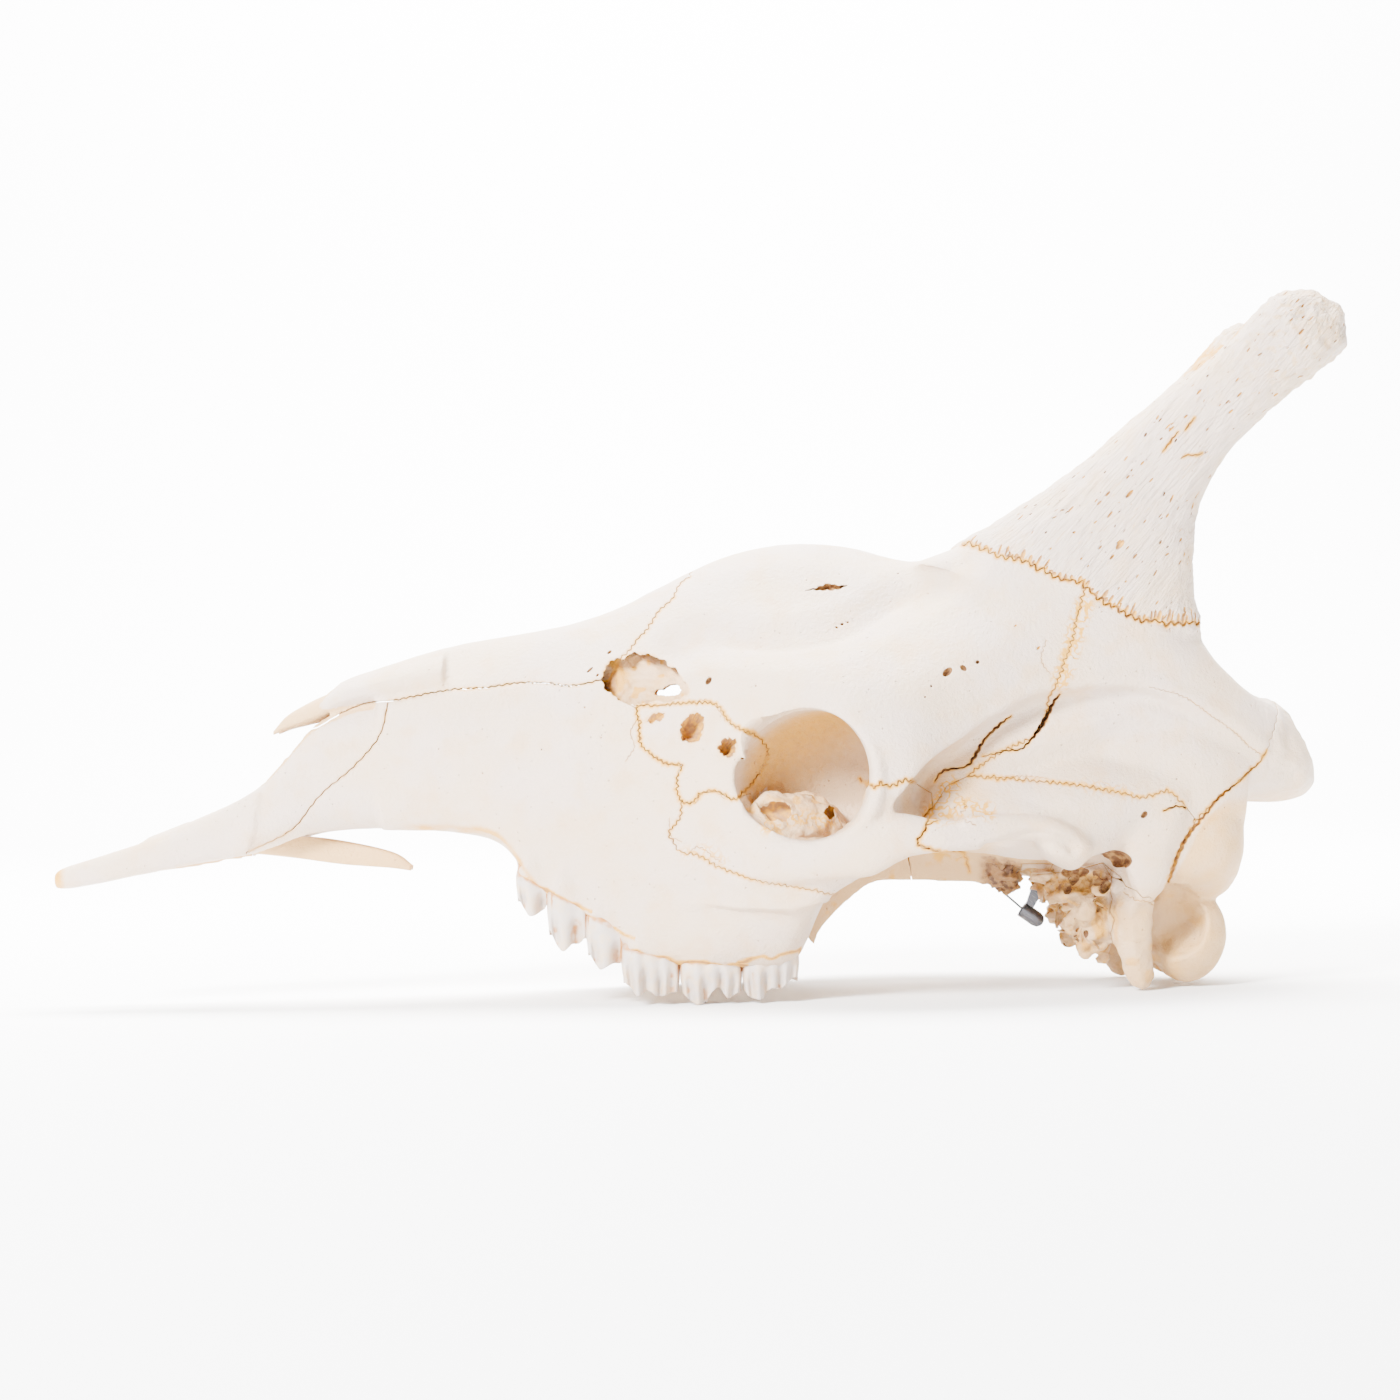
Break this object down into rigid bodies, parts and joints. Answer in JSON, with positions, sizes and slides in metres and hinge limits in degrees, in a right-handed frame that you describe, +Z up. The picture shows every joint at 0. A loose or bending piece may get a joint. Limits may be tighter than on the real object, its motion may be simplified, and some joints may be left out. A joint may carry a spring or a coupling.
{
  "type": "giraffe skull",
  "caption": "Life-size giraffe cranium without its lower jaw, bones parted at their sutures, lying on its cheek teeth and the processes beside the neck joint.",
  "frame": {"origin": "on the table, under the middle of the skull's length and on its middle plane", "axes": "+X from the snout to the back of the skull, +Y to its right side, +Z up from the table"},
  "size_m": [0.6899, 0.2332, 0.3679],
  "materials": {
    "bone": "dry cleaned bone, matt",
    "horn_bone": "porous horn bone, matt",
    "stained_bone": "dry bone with amber stain, matt",
    "dark_steel": "dull dark steel"
  },
  "bodies": {
    "root": {"horn_core_left": "horn_bone", "horn_core_right": "horn_bone", "frontal_left": "bone", "frontal_right": "bone", "nasal_left": "bone", "nasal_right": "bone", "premaxilla_left": "bone", "premaxilla_right": "bone", "maxilla_left": "bone", "maxilla_right": "bone", "lacrimal_left": "bone", "lacrimal_right": "bone", "zygomatic_left": "bone", "zygomatic_right": "bone", "temporal_left": "bone", "temporal_right": "bone", "parietal": "bone", "occipital": "bone", "palatine_left": "stained_bone", "palatine_right": "stained_bone", "sphenoid": "stained_bone", "ear_bulb_left": "stained_bone", "ear_bulb_right": "stained_bone", "hanger_cap": "dark_steel", "hanger_wire": "dark_steel"}
  },
  "joints": []
}
